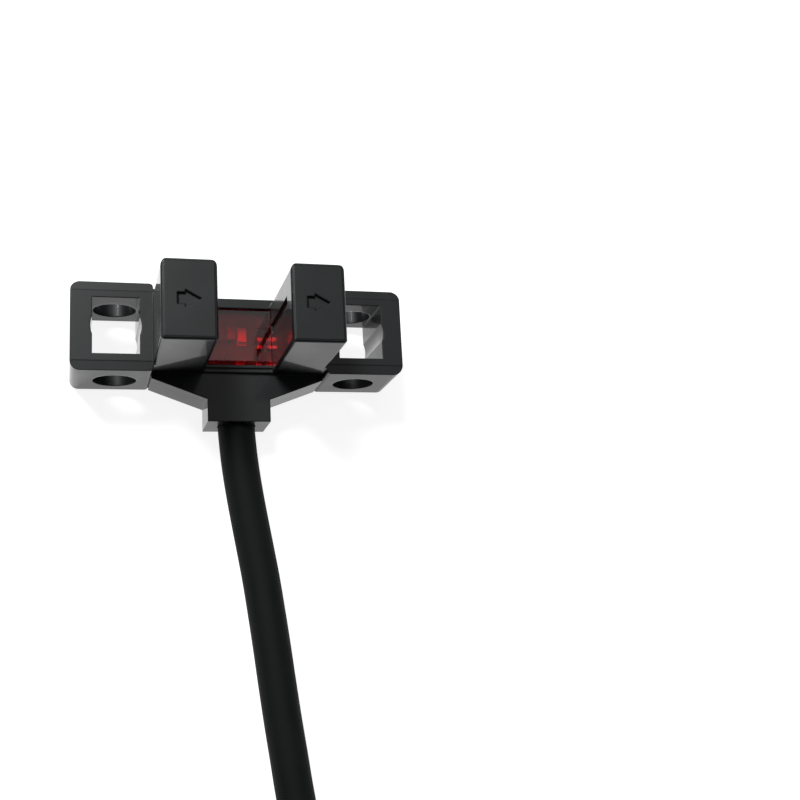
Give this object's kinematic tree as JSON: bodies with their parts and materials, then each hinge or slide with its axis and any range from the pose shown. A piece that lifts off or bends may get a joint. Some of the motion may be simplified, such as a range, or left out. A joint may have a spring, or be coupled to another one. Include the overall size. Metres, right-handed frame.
{
  "type": "fork sensor",
  "caption": "Small slot photoelectric sensor: black moulded fork with a red indicator window, a mounting ear on each side, and a cable that ends in stripped leads.",
  "frame": {"origin": "on the back face, midway between the two mounting holes", "axes": "+X across the fork, from the emitter's arm to the receiver's; +Z from the back face to the arm tips; the cable leaves along -Y"},
  "size_m": [0.0448, 0.0886, 0.0143],
  "materials": {
    "housing_black": "semi-gloss moulded plastic",
    "window_red": "clear red polycarbonate",
    "cover_black": "fine moulded grain",
    "board_green": "solder mask over glass-fibre board",
    "emitter_tinted": "clear blue-grey epoxy case",
    "receiver_black": "infrared-passing black epoxy case",
    "tinned_metal": "tinned",
    "solder": "bright solder",
    "lamp": "diffused lamp case",
    "chip_case": "epoxy moulding compound",
    "resistor_ceramic": "ceramic body, tinned caps",
    "capacitor_ceramic": "ceramic body, tinned caps",
    "core_brown": "core insulation",
    "core_black": "core insulation",
    "core_white": "core insulation",
    "core_blue": "core insulation",
    "crimp_brass": "rolled brass",
    "cable_jacket": "soft black cable jacket, matte"
  },
  "bodies": {
    "root": {"housing": "housing_black", "indicator_window": "window_red", "rear_cover": "cover_black", "circuit_board": "board_green", "emitter": "emitter_tinted", "receiver": "receiver_black", "emitter_leads": "tinned_metal", "receiver_leads": "tinned_metal", "indicator_led": "lamp", "control_ic": "chip_case", "output_transistors": "chip_case", "protection_diode": "chip_case", "chip_resistors": "resistor_ceramic", "chip_capacitors": "capacitor_ceramic", "solder_joints": "solder", "core_brown": "core_brown", "core_black": "core_black", "core_white": "core_white", "core_blue": "core_blue", "cable_clamp": "crimp_brass", "cable": "cable_jacket", "cable_coil": "cable_jacket", "cable_end": "cable_jacket", "lead_brown": "core_brown", "lead_black": "core_black", "lead_white": "core_white", "lead_blue": "core_blue", "lead_tips": "tinned_metal"}
  },
  "joints": []
}
